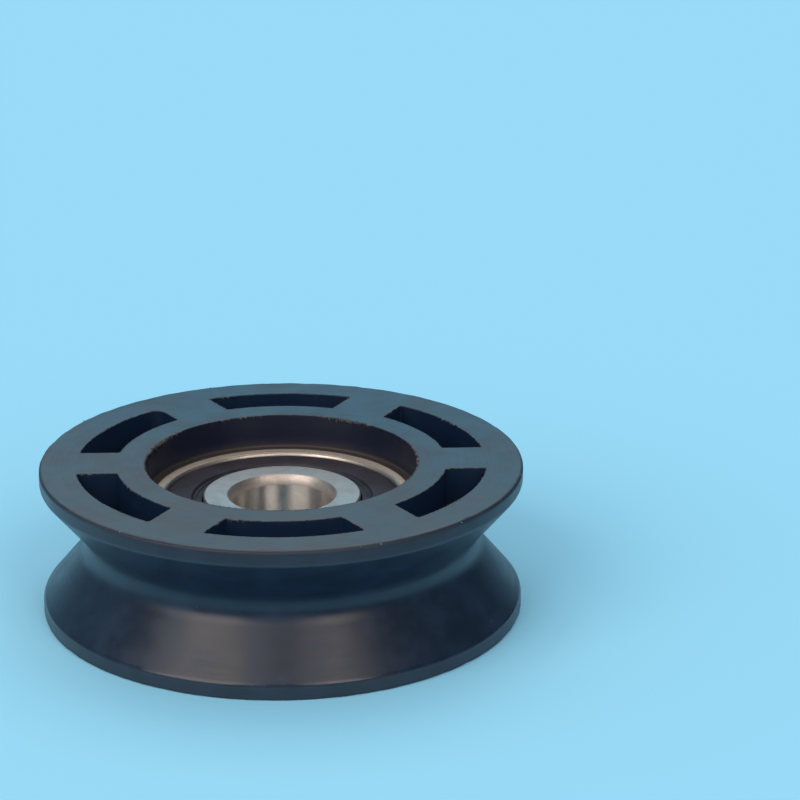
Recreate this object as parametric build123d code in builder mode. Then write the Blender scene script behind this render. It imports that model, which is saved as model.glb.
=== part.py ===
from build123d import *
import os
from math import radians, tan

# A V-groove wheel of black nylon moulded around a sealed deep-groove ball bearing.
# It lies on its side face: the axle's line is +Z, the origin is the middle of the bore,
# and a rib between two pockets points along +X. All sizes are in millimetres.

# Nylon wheel
wheel_diameter = 48.0
wheel_width = 15.0
rim_land = 1.5  # width of the plain cylinder beside the groove, on each flange
groove_angle = 100.0  # between the two flanks, in degrees
groove_root_round = 2.5
flank_edge_round = 0.6  # between a flank and its land
rim_edge_round = 0.22  # between a land and the side face
recess_step = 0.6  # ledge of nylon around the bearing, at the foot of the side recess
recess_foot_round = 0.3
hub_wall = 2.8  # between the recess and the pockets
rim_wall = 3.6  # between the pockets and the outside
rib_width = 5.9
rib_count = 6
pocket_depth = 4.0
pocket_corner_round = 0.35
pocket_draft = 1.5  # in degrees

# Bearing envelope
bore_diameter = 10.0
bearing_diameter = 26.0
bearing_width = 8.0
bore_lead_radial = 0.48  # rounded lead-in at each end of the bore, measured across it
bore_lead_axial = 1.0  # the same lead-in, measured along the bore
outer_chamfer = 0.2
inner_edge_chamfer = 0.12

# Balls and raceways
ball_diameter = 4.7625
ball_count = 7
ball_clearance = 0.02  # between a ball and the bottom of either raceway
raceway_ratio = 1.04  # raceway groove radius over ball radius
inner_race_depth = 1.25  # raceway bottom to inner shoulder
outer_race_depth = 0.75  # raceway bottom to outer shoulder

# Cage of two pressed ribbons held together by rivets
cage_sheet = 0.3
cage_inner_clearance = 0.25  # between the cage's inner edge and the inner ring's shoulder
cage_outer_clearance = 0.75  # between the cage's outer edge and the outer ring's shoulder
cage_ball_clearance = 0.07
rivet_diameter = 0.7
rivet_head_diameter = 1.2
rivet_head_height = 0.25
rivet_head_round = 0.2

# Seals and their steel inserts
seal_seat_depth = 0.8  # bearing face to the ledge that a seal sits on
seal_groove_wall = 0.95  # outer ring wall behind the seal groove
seal_lip_overhang = 0.3  # how far the ring's lip reaches in over the groove
seal_lip_height = 0.15
seal_lip_slope = 0.15
seal_fit = 0.02  # around the seal's rim, in its groove
seal_face_drop = 0.25  # bearing face to the seal's flat face
seal_web = 0.3  # rubber at the thin steps, above the ledge
seal_gutter_width = 0.27  # between the seal's flat face and the ring's lip
seal_lip_band = 0.55  # thin running lip at the seal's inner edge
seal_ridge_width = 0.18  # ridge, groove and slope between the lip and the flat face
seal_ridge_height = 0.12
seal_gap = 0.14  # running gap between seal and inner ring
insert_thickness = 0.18
insert_inner_cover = 0.7  # rubber beyond the insert's inner edge
insert_outer_cover = 0.6  # rubber beyond the insert's outer edge
oil_groove_depth = 0.35
oil_groove_width = 0.5
oil_groove_slope = 0.15
oil_groove_drop = 0.55  # bearing face to the start of the inner ring's oil groove

# How closely a corner or a face has to lie to the place that it is looked for at
near = 0.01

# Sizes worked out from those above
wheel_radius = wheel_diameter / 2
half_width = wheel_width / 2
bearing_radius = bearing_diameter / 2
bearing_half = bearing_width / 2
bore_radius = bore_diameter / 2
groove_sharp_radius = wheel_radius - (half_width - rim_land) / tan(radians(groove_angle / 2))
recess_radius = bearing_radius + recess_step
pocket_inner_radius = recess_radius + hub_wall
pocket_outer_radius = wheel_radius - rim_wall

ball_radius = ball_diameter / 2
ball_circle_radius = (bore_radius + bearing_radius) / 2
ball_pitch = 360 / ball_count
raceway_radius = ball_radius * raceway_ratio
inner_race_bottom = ball_circle_radius - ball_radius - ball_clearance
outer_race_bottom = ball_circle_radius + ball_radius + ball_clearance
inner_shoulder = inner_race_bottom + inner_race_depth
outer_shoulder = outer_race_bottom - outer_race_depth

cage_pocket_radius = ball_radius + cage_ball_clearance
cage_dome_radius = cage_pocket_radius + cage_sheet
cage_inner_radius = inner_shoulder + cage_inner_clearance
cage_outer_radius = outer_shoulder - cage_outer_clearance
rivet_radius = rivet_diameter / 2
rivet_head_radius = rivet_head_diameter / 2
rivet_top = cage_sheet + rivet_head_height

seal_seat = bearing_half - seal_seat_depth
seal_step = seal_seat + seal_web
seal_top = bearing_half - seal_face_drop
seal_groove_radius = bearing_radius - seal_groove_wall
seal_groove_top = bearing_half - seal_lip_height - seal_lip_slope
seal_lip_radius = seal_groove_radius - seal_lip_overhang
seal_rim_radius = seal_groove_radius - seal_fit
seal_rim_top = seal_groove_top - seal_fit
seal_inner_radius = inner_shoulder + seal_gap
seal_ridge_start = seal_inner_radius + seal_lip_band
seal_ridge_end = seal_ridge_start + seal_ridge_width
seal_slope_start = seal_ridge_end + seal_ridge_width
seal_flat_start = seal_slope_start + seal_ridge_width
seal_flat_end = seal_lip_radius - seal_gutter_width
insert_inner_radius = seal_inner_radius + insert_inner_cover
insert_outer_radius = seal_rim_radius - insert_outer_cover
insert_top = seal_seat + insert_thickness

oil_groove_radius = inner_shoulder - oil_groove_depth
oil_groove_start = bearing_half - oil_groove_drop
oil_groove_end = oil_groove_start - oil_groove_width - 2 * oil_groove_slope


def write(builder, name):
    """Labels a finished piece and writes it to its own file."""
    builder.part.label = name
    export_step(builder.part, f"parts/{name}.step")


os.makedirs("parts", exist_ok=True)

# Nylon wheel: one moulding, which wraps the two chamfers of the bearing's outer ring
with BuildPart() as nylon_wheel:
    with BuildSketch(Plane.XZ) as wheel_section:
        with BuildLine():
            Polyline(
                (bearing_radius, 0),
                (bearing_radius, bearing_half - outer_chamfer),
                (bearing_radius - outer_chamfer, bearing_half),
                (recess_radius, bearing_half),
                (recess_radius, half_width),
                (wheel_radius, half_width),
                (wheel_radius, half_width - rim_land),
                (groove_sharp_radius, 0),
            )
            mirror(about=Plane.XZ)
        make_face()
        recess_feet = wheel_section.vertices().filter_by(
            lambda corner: abs(corner.X - recess_radius) < near and abs(corner.Y) < half_width - near
        )
        fillet(recess_feet, recess_foot_round)
        groove_root = wheel_section.vertices().filter_by(
            lambda corner: abs(corner.X - groove_sharp_radius) < near and abs(corner.Y) < near
        )
        fillet(groove_root, groove_root_round)
        rim_corners = wheel_section.vertices().group_by(Axis.X)[-1].sort_by(Axis.Y)
        fillet(rim_corners[1:-1], flank_edge_round)
        rim_corners = wheel_section.vertices().group_by(Axis.X)[-1].sort_by(Axis.Y)
        fillet([rim_corners[0], rim_corners[-1]], rim_edge_round)
    revolve(axis=Axis.Z)
    for side in (1, -1):
        with BuildSketch(Plane.XY.offset(side * half_width)) as pockets:
            Circle(pocket_outer_radius)
            Circle(pocket_inner_radius, mode=Mode.SUBTRACT)
            with PolarLocations(pocket_outer_radius / 2, rib_count):
                Rectangle(pocket_outer_radius, rib_width, mode=Mode.SUBTRACT)
            fillet(pockets.vertices(), pocket_corner_round)
        extrude(amount=-side * pocket_depth, mode=Mode.SUBTRACT)
        pocket_walls = nylon_wheel.faces(Select.LAST).filter_by(
            lambda face: abs(face.normal_at().Z) < near
        )
        draft(pocket_walls, neutral_plane=Plane.XY.offset(side * half_width), angle=side * pocket_draft)
write(nylon_wheel, "nylon_wheel")

# Outer ring, with a raceway, and a groove in each side for a seal's rim
with BuildPart() as outer_ring:
    with BuildSketch(Plane.XZ):
        with BuildLine():
            Polyline(
                (outer_shoulder, 0),
                (outer_shoulder, seal_seat),
                (seal_groove_radius, seal_seat),
                (seal_groove_radius, seal_groove_top),
                (seal_lip_radius, seal_groove_top + seal_lip_slope),
                (seal_lip_radius, bearing_half),
                (bearing_radius - outer_chamfer, bearing_half),
                (bearing_radius, bearing_half - outer_chamfer),
                (bearing_radius, 0),
            )
            mirror(about=Plane.XZ)
        make_face()
        with Locations((outer_race_bottom - raceway_radius, 0)):
            Circle(raceway_radius, mode=Mode.SUBTRACT)
    revolve(axis=Axis.Z)
write(outer_ring, "outer_ring")

# Inner ring, with the bore for the axle, a raceway, and an oil groove under each seal
with BuildPart() as inner_ring:
    with BuildSketch(Plane.XZ):
        with BuildLine():
            Line((bore_radius, 0), (bore_radius, bearing_half - bore_lead_axial))
            TangentArc(
                (bore_radius, bearing_half - bore_lead_axial),
                (bore_radius + bore_lead_radial, bearing_half),
                tangent=(0, 1),
            )
            Polyline(
                (bore_radius + bore_lead_radial, bearing_half),
                (inner_shoulder - inner_edge_chamfer, bearing_half),
                (inner_shoulder, bearing_half - inner_edge_chamfer),
                (inner_shoulder, oil_groove_start),
                (oil_groove_radius, oil_groove_start - oil_groove_slope),
                (oil_groove_radius, oil_groove_end + oil_groove_slope),
                (inner_shoulder, oil_groove_end),
                (inner_shoulder, 0),
            )
            mirror(about=Plane.XZ)
        make_face()
        with Locations((inner_race_bottom + raceway_radius, 0)):
            Circle(raceway_radius, mode=Mode.SUBTRACT)
    revolve(axis=Axis.Z)
write(inner_ring, "inner_ring")

# Balls, the first one on the +X line
for number in range(ball_count):
    with BuildPart() as ball:
        with PolarLocations(ball_circle_radius, 1, start_angle=number * ball_pitch):
            Sphere(ball_radius)
    write(ball, f"ball_{number + 1}")

# Cage: the same pressed ribbon above and below the middle, domed over each ball
for side, half in ((1, "upper"), (-1, "lower")):
    with BuildPart() as cage:
        with BuildSketch():
            Circle(cage_outer_radius)
        extrude(amount=side * cage_sheet)
        with PolarLocations(ball_circle_radius, ball_count):
            Sphere(cage_dome_radius)
        with BuildSketch():
            Circle(cage_outer_radius)
            Circle(cage_inner_radius, mode=Mode.SUBTRACT)
        extrude(amount=side * cage_dome_radius, mode=Mode.INTERSECT)
        with PolarLocations(ball_circle_radius, ball_count):
            Sphere(cage_pocket_radius, mode=Mode.SUBTRACT)
        with PolarLocations(ball_circle_radius, ball_count, start_angle=ball_pitch / 2):
            Cylinder(rivet_radius, 2 * cage_sheet, mode=Mode.SUBTRACT)
    write(cage, f"cage_{half}")

# Rivets, midway between the balls, each with a rounded head against both halves of the cage
for number in range(ball_count):
    with BuildPart() as cage_rivet:
        with PolarLocations(ball_circle_radius, 1, start_angle=(number + 0.5) * ball_pitch):
            Cylinder(rivet_radius, 2 * cage_sheet)
            with Locations((0, 0, cage_sheet)):
                Cylinder(rivet_head_radius, rivet_head_height, align=(Align.CENTER, Align.CENTER, Align.MIN))
            with Locations((0, 0, -cage_sheet)):
                Cylinder(rivet_head_radius, rivet_head_height, align=(Align.CENTER, Align.CENTER, Align.MAX))
        head_rims = cage_rivet.edges().filter_by(GeomType.CIRCLE).filter_by(
            lambda edge: abs(edge.center().Z) > rivet_top - near
        )
        fillet(head_rims, rivet_head_round)
    write(cage_rivet, f"cage_rivet_{number + 1}")

# Seals: rubber moulded on a steel washer that shows on the inside
for side, half in ((1, "upper"), (-1, "lower")):
    with BuildPart() as seal:
        with BuildSketch(Plane.XZ):
            with BuildLine():
                Polyline(
                    (seal_inner_radius, side * seal_seat),
                    (seal_inner_radius, side * seal_step),
                    (seal_ridge_start, side * seal_step),
                    (seal_ridge_start, side * (seal_step + seal_ridge_height)),
                    (seal_ridge_end, side * (seal_step + seal_ridge_height)),
                    (seal_ridge_end, side * seal_step),
                    (seal_slope_start, side * seal_step),
                    (seal_flat_start, side * seal_top),
                    (seal_flat_end, side * seal_top),
                    (seal_flat_end, side * seal_step),
                    (seal_lip_radius, side * seal_step),
                    (seal_rim_radius, side * seal_rim_top),
                    (seal_rim_radius, side * seal_seat),
                    (insert_outer_radius, side * seal_seat),
                    (insert_outer_radius, side * insert_top),
                    (insert_inner_radius, side * insert_top),
                    (insert_inner_radius, side * seal_seat),
                    close=True,
                )
            make_face()
        revolve(axis=Axis.Z)
    write(seal, f"seal_{half}")

    with BuildPart() as seal_insert:
        with BuildSketch(Plane.XY.offset(side * seal_seat)):
            Circle(insert_outer_radius)
            Circle(insert_inner_radius, mode=Mode.SUBTRACT)
        extrude(amount=side * insert_thickness)
    write(seal_insert, f"seal_insert_{half}")
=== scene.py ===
import math

import bmesh
import bpy
import numpy as np
from mathutils import Matrix, Vector


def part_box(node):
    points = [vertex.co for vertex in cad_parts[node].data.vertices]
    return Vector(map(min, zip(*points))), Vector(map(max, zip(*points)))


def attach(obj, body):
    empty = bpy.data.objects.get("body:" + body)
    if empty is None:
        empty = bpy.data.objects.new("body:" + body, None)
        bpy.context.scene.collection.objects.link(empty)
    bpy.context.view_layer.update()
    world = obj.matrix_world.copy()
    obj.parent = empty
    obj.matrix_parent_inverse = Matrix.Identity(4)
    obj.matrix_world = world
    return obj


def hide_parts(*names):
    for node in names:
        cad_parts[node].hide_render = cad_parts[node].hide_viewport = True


bl_info = {
    "name": "Nylon Bearing Wheel",
    "version": (1, 0, 0),
    "blender": (4, 5, 0),
    "location": "3D View > Sidebar > Bearing Wheel",
    "description": "A V-groove wheel of black nylon around a sealed ball bearing, with finishes and stage",
    "category": "Object",
}

MM = 0.001
FULL_TURN = 2 * math.pi
SIDES = ((1, "upper"), (-1, "lower"))

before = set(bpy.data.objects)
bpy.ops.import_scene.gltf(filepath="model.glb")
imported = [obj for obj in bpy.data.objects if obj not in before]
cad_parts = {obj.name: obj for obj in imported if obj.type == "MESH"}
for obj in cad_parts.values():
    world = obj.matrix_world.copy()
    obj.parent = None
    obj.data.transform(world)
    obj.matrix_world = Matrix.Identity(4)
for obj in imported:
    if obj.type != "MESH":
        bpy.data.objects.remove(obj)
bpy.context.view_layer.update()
wheel_low, wheel_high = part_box("nylon_wheel")
bearing_low, bearing_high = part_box("outer_ring")


def length(name, description, default):
    """A length property, in metres."""
    return bpy.props.FloatProperty(
        name=name, description=description, default=default, min=0.0, precision=5, unit="LENGTH"
    )


def angle(name, description, degrees):
    """An angle property, given here in degrees."""
    return bpy.props.FloatProperty(
        name=name, description=description, default=math.radians(degrees), subtype="ANGLE"
    )


def share(name, description, default):
    """A property without a unit, from nothing to one."""
    return bpy.props.FloatProperty(
        name=name, description=description, default=default, min=0.0, max=1.0, subtype="FACTOR"
    )


def colour(name, description, default):
    """A colour property, with linear values."""
    return bpy.props.FloatVectorProperty(
        name=name, description=description, default=default, size=3, min=0.0, max=1.0, subtype="COLOR"
    )


class WheelShape(bpy.types.PropertyGroup):
    """Sizes of the nylon moulding, which follow the CAD model."""

    radius: length("Wheel radius", "From the axle's line to the flanges", (wheel_high.x - wheel_low.x) / 2)
    half_width: length("Half width", "From the middle to a side face", (wheel_high.z - wheel_low.z) / 2)
    land: length("Land", "Width of the plain cylinder beside the groove", 1.5 * MM)
    groove_angle: angle("Groove angle", "Between the two flanks", 100.0)
    root_round: length("Root round", "Radius at the bottom of the groove", 2.5 * MM)
    flank_round: length("Flank edge round", "Between a flank and its land", 0.6 * MM)
    rim_round: length("Rim edge round", "Between a land and the side face", 0.3 * MM)
    recess_step: length("Recess step", "Ledge of nylon around the bearing", 0.6 * MM)
    recess_round: length("Recess edge round", "Between the recess and the side face", 0.1 * MM)
    recess_foot: length("Recess foot round", "At the foot of the recess", 0.2 * MM)
    hub_wall: length("Hub wall", "Between the recess and the pockets", 2.8 * MM)
    rim_wall: length("Rim wall", "Between the pockets and the outside", 3.6 * MM)
    rib_width: length("Rib width", "Between two pockets", 5.9 * MM)
    pocket_depth: length("Pocket depth", "From the side face to a pocket's floor", 4.0 * MM)
    pocket_corner: length("Pocket corner round", "In plan", 0.25 * MM)
    pocket_draft: angle("Pocket draft", "Lean of the pocket's walls", 1.5)
    pocket_lip: length("Pocket lip round", "Between a pocket's wall and the side face", 0.08 * MM)
    pocket_foot: length("Pocket foot round", "Between a pocket's wall and its floor", 0.2 * MM)
    worn_corner: length("Rough corner round", "At the one badly formed pocket corner", 1.1 * MM)
    raggedness: length("Raggedness", "How far the cut edges wander", 0.035 * MM)


class BearingShape(bpy.types.PropertyGroup):
    """Sizes of the ball bearing, which follow the CAD model."""

    outer_radius: length("Bearing radius", "Outside of the outer ring", (bearing_high.x - bearing_low.x) / 2)
    half_width: length("Half width", "From the middle to a ring's face", (bearing_high.z - bearing_low.z) / 2)
    outer_chamfer: length("Outer chamfer", "On the outer ring, under the nylon", 0.2 * MM)
    bore_radius: length("Bore radius", "Of the inner ring", 5.0 * MM)
    lead_across: length("Lead-in, across", "Rounded lead-in at each end of the bore", 0.48 * MM)
    lead_along: length("Lead-in, along", "Rounded lead-in at each end of the bore", 1.0 * MM)
    lead_bend: angle("Lead-in bend", "Half of the turn of the lead-in's arc", 15.0)
    inner_edge: length("Inner ring chamfer", "At the inner ring's outside edge", 0.12 * MM)
    edge_round: length("Edge round", "Tiny round on every steel edge", 0.035 * MM)
    ball_radius: length("Ball radius", "Of each ball", 2.38125 * MM)
    ball_clearance: length("Ball clearance", "Between a ball and a raceway's bottom", 0.02 * MM)
    race_ratio: bpy.props.FloatProperty(
        name="Raceway ratio", description="Raceway radius over ball radius", default=1.04, min=1.0
    )
    inner_depth: length("Inner raceway depth", "From its bottom to the shoulder", 1.25 * MM)
    outer_depth: length("Outer raceway depth", "From its bottom to the shoulder", 0.75 * MM)
    oil_groove_drop: length("Oil groove drop", "From the ring's face to the groove", 0.55 * MM)
    oil_groove_width: length("Oil groove width", "At its bottom", 0.5 * MM)
    oil_groove_slope: length("Oil groove slope", "Width of each sloping side", 0.15 * MM)
    oil_groove_depth: length("Oil groove depth", "Under the inner ring's shoulder", 0.35 * MM)
    seat_depth: length("Seal seat depth", "From the ring's face to the seal's ledge", 0.8 * MM)
    groove_wall: length("Seal groove wall", "Steel behind the seal's groove", 0.95 * MM)
    lip_overhang: length("Lip overhang", "Of the ring's lip over the seal's rim", 0.3 * MM)
    lip_round: length("Lip round", "Of the ring's lip towards the seal", 0.44 * MM)
    seal_fit: length("Seal fit", "Clearance around the seal's rim", 0.02 * MM)
    seal_drop: length("Seal drop", "From the ring's face to the seal's flat face", 0.25 * MM)
    seal_web: length("Seal web", "Rubber at the thin steps", 0.3 * MM)
    seal_gutter: length("Seal gutter", "Between the flat face and the ring's lip", 0.27 * MM)
    seal_lip_band: length("Seal lip band", "Thin running lip at the inner edge", 0.55 * MM)
    seal_ridge: length("Seal ridge width", "Ridge, groove and slope beside the lip", 0.18 * MM)
    seal_ridge_height: length("Seal ridge height", "Above the thin steps", 0.12 * MM)
    seal_gap: length("Seal gap", "Between the seal and the inner ring", 0.14 * MM)
    seal_edge: length("Seal edge round", "On the rubber's edges", 0.05 * MM)
    insert_thickness: length("Insert thickness", "Steel washer in the seal", 0.18 * MM)
    insert_inner_cover: length("Insert inner cover", "Rubber inside the washer", 0.7 * MM)
    insert_outer_cover: length("Insert outer cover", "Rubber outside the washer", 0.6 * MM)


class WheelFinish(bpy.types.PropertyGroup):
    """Colours and roughness of the finishes. Some of the colours hold painted light and shade, as the
    comments say.
    """

    nylon: colour("Nylon", "Black nylon, as turned", (0.0075, 0.0155, 0.033))
    # Painted light: nylon_face and the next colour are shaded and lit copies of the side faces' colour.
    # nylon_face is teal, as painted reflection of the backdrop away from the lamps. The next colour is
    # lighter and warmer, as painted lamplight towards them.
    nylon_face: colour("Nylon side faces", "Dulled by handling", (0.016, 0.035, 0.062))
    nylon_face_lamp_side: colour("Nylon side faces, worn", "On the side that is handled most", (0.050, 0.046, 0.051))
    # Painted shade: the recess and pocket colours are the moulded skin's colour, tinted navy as painted shade
    # and darkest in the recesses.
    nylon_recess_shaded: colour("Nylon in the recess", "As moulded", (0.004, 0.0085, 0.027))
    # Painted light: the ledge around the bearing is painted lighter brown, as the lamplight that its dull
    # nylon catches.
    nylon_ledge_lamplight: colour("Nylon around the bearing", "Dull ledge at the recess's foot", (0.040, 0.031, 0.030))
    nylon_pocket_shaded: colour("Nylon in the pockets", "As moulded", (0.005, 0.017, 0.046))
    nylon_roughness: share("Nylon roughness", "On the turned faces", 0.345)
    face_roughness: share("Face roughness", "Added on the side faces", 0.02)
    burr: colour("Burr", "Torn nylon at the cut edges", (0.12, 0.108, 0.105))
    fleck: colour("Fleck", "Pale crumbs caught on the rims", (0.55, 0.56, 0.52))
    # Painted light: ring_steel, lead_steel and bore_steel are darker and lighter copies of the inner ring's
    # one ground steel. The faces are darker and bluer, as painted shade and painted reflection of the blue
    # backdrop. The bore's wall is lightest, for its painted highlight streaks, and the lead-in lies between
    # them.
    ring_steel: colour("Ring steel", "Ground faces of the inner ring", (0.53, 0.55, 0.56))
    lead_steel: colour("Lead-in steel", "Round at each end of the bore", (0.66, 0.605, 0.56))
    # Painted light: lip_steel and face_steel are darker and lighter copies of the outer ring's one steel. The
    # flat faces are painted lighter, as highlight. The lip is darker and warmer, the tan of its painted
    # highlight.
    lip_steel: colour("Lip steel", "Outer ring", (0.70, 0.64, 0.57))
    face_steel: colour("Outer face steel", "Flat faces of the outer ring", (0.86, 0.80, 0.74))
    bore_steel: colour("Bore steel", "Ground wall of the bore", (0.86, 0.81, 0.77))
    ring_roughness: share("Ring roughness", "On the ground faces", 0.5)
    lip_roughness: share("Lip roughness", "On the outer ring", 0.43)
    face_steel_roughness: share("Outer face roughness", "On the outer ring's flat faces", 0.66)
    bore_roughness: share("Bore roughness", "On the bore's ground wall", 0.35)
    rubber: colour("Rubber", "Black rubber of the seals", (0.013, 0.012, 0.022))
    ball_steel: colour("Ball steel", "Polished balls", (0.72, 0.72, 0.71))
    sheet_steel: colour("Sheet steel", "Pressed cage, rivets and seal washers", (0.56, 0.55, 0.53))


class StageSettings(bpy.types.PropertyGroup):
    """Camera, lamps and floor."""

    focal_pixels: bpy.props.FloatProperty(
        name="Focal length", description="In pixels of the photograph", default=2800.0, subtype="PIXEL"
    )
    picture_width: bpy.props.FloatProperty(
        name="Picture width", description="Of the photograph, in pixels", default=800.0, subtype="PIXEL"
    )
    face_centre: bpy.props.FloatVectorProperty(
        name="Face centre",
        description="Pixel where the middle of the upper side face lies",
        default=(281.706, 460.388),
        size=2,
    )
    distance: length("Distance", "From the camera to the upper side face, along its view", 278.42 * MM)
    elevation: angle("Elevation", "Of the camera above the horizon", 19.178)
    roll: angle("Roll", "Of the camera", 0.152)
    wheel_turn: angle("Wheel turn", "How far the wheel's rib is turned from the picture's right", 2.967)
    backdrop: colour("Backdrop", "Pale blue paper under and behind the wheel", (0.318, 0.706, 0.945))
    room_left: colour("Room, left", "What reflections show left of the backdrop", (0.10, 0.21, 0.31))
    room_right: colour("Room, right", "What reflections show right of the backdrop", (0.03, 0.06, 0.10))
    fill_tint: colour("Fill tint", "Of the light from all round", (0.68, 0.88, 1.0))
    lamp_tint: colour("Lamp tint", "Of the soft boxes", (1.0, 0.87, 0.76))
    left_lamp: bpy.props.FloatProperty(name="Left lamp", description="Radiance of its face", default=3.15)
    right_lamp: bpy.props.FloatProperty(name="Right lamp", description="Radiance of its face", default=3.0)
    back_lamp: bpy.props.FloatProperty(name="Back lamp", description="Radiance of its face", default=1.5)
    fill: share("Fill", "Strength of the light from all round", 0.5)


def even_turns(count):
    """Angles that share a full turn evenly."""
    return np.arange(count) * FULL_TURN / count


def run_between(first, last, steps):
    """Points that share a straight run evenly, both ends included."""
    part = np.linspace(0, 1, steps + 1)[:, None]
    return first * (1 - part) + last * part


def arc_points(centre, radius, start, end, steps):
    """Points that share an arc evenly, from one angle to another."""
    turn = np.linspace(start, end, steps + 1)
    return np.asarray(centre) + radius * np.stack([np.cos(turn), np.sin(turn)], 1)


def rounded_outline(rows, steps=5):
    """An outline of points across and up, from rows of across, up and round.

    At a row with a round, the corner becomes an arc that touches both of its runs: its centre lies on the
    corner's bisector at round / sin(half the corner's angle), and its points turn evenly about that centre.
    """
    rows = np.asarray(rows, float)
    corner = rows[:, :2]
    pieces = [corner[:1]]
    for before, here, after, radius in zip(corner[:-2], corner[1:-1], corner[2:], rows[1:-1, 2]):
        if radius <= 0:
            pieces.append(here[None])
            continue
        back = (before - here) / np.linalg.norm(before - here)
        ahead = (after - here) / np.linalg.norm(after - here)
        half = math.acos(np.clip(back @ ahead, -1, 1)) / 2
        bisector = (back + ahead) / np.linalg.norm(back + ahead)
        centre = here + bisector * radius / math.sin(half)
        first = here + back * radius / math.tan(half) - centre
        last = here + ahead * radius / math.tan(half) - centre
        turn = math.pi - 2 * half
        part = np.linspace(0, turn, steps + 1)[:, None]
        pieces.append(centre + (np.sin(turn - part) * first + np.sin(part) * last) / math.sin(turn))
    pieces.append(corner[-1:])
    return np.concatenate(pieces)


def arc_rows(*arc):
    """Rows for rounded_outline along an arc, with no round of their own."""
    return np.pad(arc_points(*arc), ((0, 0), (0, 1)))


def guarded(outline, guard):
    """The outline with a point close to each end of every long run, to keep smooth shading at its edges.

    Guard is that point's distance from the end.
    """
    run = np.diff(outline, axis=0)
    size = np.linalg.norm(run, axis=1, keepdims=True)
    step = run * np.minimum(guard / np.maximum(size, 1e-12), 0.5)
    keep = np.ones((len(run), 3), bool)
    keep[:, 1:] = size > 4 * guard
    rows = np.stack([outline[:-1], outline[:-1] + step, outline[1:] - step], 1)[keep]
    return np.concatenate([rows, outline[-1:]])


def mirrored(rows):
    """Rows above the middle followed by the same rows below it, in a closed round's order."""
    rows = np.asarray(rows, float)
    return np.concatenate([rows, rows[::-1] * np.array([1, -1, 1])])


def grid_quads(rows, columns, wrap_rows=False, wrap_columns=False):
    """Quads of a grid of points numbered row by row, joined round its ends where it wraps."""
    number = np.arange(rows * columns).reshape(rows, columns)
    if wrap_rows:
        number = np.concatenate([number, number[:1]])
    if wrap_columns:
        number = np.concatenate([number, number[:, :1]], 1)
    corners = [number[:-1, :-1], number[:-1, 1:], number[1:, 1:], number[1:, :-1]]
    return np.stack([corner.ravel() for corner in corners], 1)


def round_points(radius, turn, height):
    """A grid's points, as one list: x = radius cos(turn), y = radius sin(turn), z = height."""
    return np.stack([radius * np.cos(turn), radius * np.sin(turn), height], 2).reshape(-1, 3)


def carried_round(outline, count, wander=None, weight=None, closed=False):
    """An outline of radius and height carried round the axle.

    Where wander is given, it holds an offset in radius and in height for each turn, and weight says how much
    of it each point of the outline takes.
    """
    radius = np.repeat(outline[:, :1], count, 1)
    height = np.repeat(outline[:, 1:], count, 1)
    if wander is not None:
        radius = radius + weight[:, :1] * wander[0]
        height = height + weight[:, 1:] * wander[1]
    quads = grid_quads(len(outline), count, wrap_rows=closed, wrap_columns=True)
    return round_points(radius, even_turns(count), height), quads


def wandering(turn, seed, low, high, waves=24):
    """A closed wandering line of about unit size: cosines of random whole frequencies and phases."""
    chance = np.random.default_rng(seed)
    frequency = chance.integers(low, high, waves)[:, None]
    phase = chance.uniform(0, FULL_TURN, waves)[:, None]
    return np.cos(frequency * turn + phase).sum(0) / math.sqrt(waves / 2)


def nicked(turn, seed, count, narrow, wide):
    """A line of random bell-shaped nicks of unit size or less, between narrow and wide across, in radians."""
    chance = np.random.default_rng(seed)
    middle = chance.uniform(0, FULL_TURN, count)[:, None]
    spread = chance.uniform(narrow, wide, count)[:, None]
    size = chance.uniform(0.3, 1.0, count)[:, None]
    apart = (turn - middle + math.pi) % FULL_TURN - math.pi
    return (size * np.exp(-((apart / spread) ** 2))).sum(0)


def make_piece(name, patches, material, body, slot, node=None, merge=1e-7, second=None, where=None):
    """A smooth mesh piece from patches, closed at its seams, facing outwards and riding on its body.

    It replaces the CAD node that is given. Where a second material is given, it goes on the polygons whose
    radius and height satisfy the test.
    """
    starts = np.cumsum([0] + [len(points) for points, quads in patches[:-1]])
    quads = np.concatenate([quads + start for (points, quads), start in zip(patches, starts)])
    points = np.concatenate([points for points, quads in patches])
    mesh = bpy.data.meshes.new(name)
    mesh.vertices.add(len(points))
    mesh.vertices.foreach_set("co", points.astype(np.float32).ravel())
    mesh.loops.add(quads.size)
    mesh.loops.foreach_set("vertex_index", quads.astype(np.int32).ravel())
    mesh.polygons.add(len(quads))
    mesh.polygons.foreach_set("loop_start", np.arange(0, quads.size, 4, dtype=np.int32))
    mesh.update(calc_edges=True)
    shape = bmesh.new()
    shape.from_mesh(mesh)
    bmesh.ops.remove_doubles(shape, verts=shape.verts, dist=merge)
    bmesh.ops.dissolve_degenerate(shape, edges=shape.edges, dist=merge / 10)
    bmesh.ops.recalc_face_normals(shape, faces=shape.faces)
    shape.to_mesh(mesh)
    shape.free()
    mesh.shade_smooth()
    mesh.materials.append(material)
    if second:
        mesh.materials.append(second)
        middle = np.empty(len(mesh.polygons) * 3, np.float32)
        mesh.polygons.foreach_get("center", middle)
        middle = middle.reshape(-1, 3)
        chosen = where(np.hypot(middle[:, 0], middle[:, 1]), np.abs(middle[:, 2]))
        mesh.polygons.foreach_set("material_index", chosen.astype(np.int32))
    piece = bpy.data.objects.new(name, mesh)
    bpy.context.scene.collection.objects.link(piece)
    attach(piece, body)
    if node:
        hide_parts(node)


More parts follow.
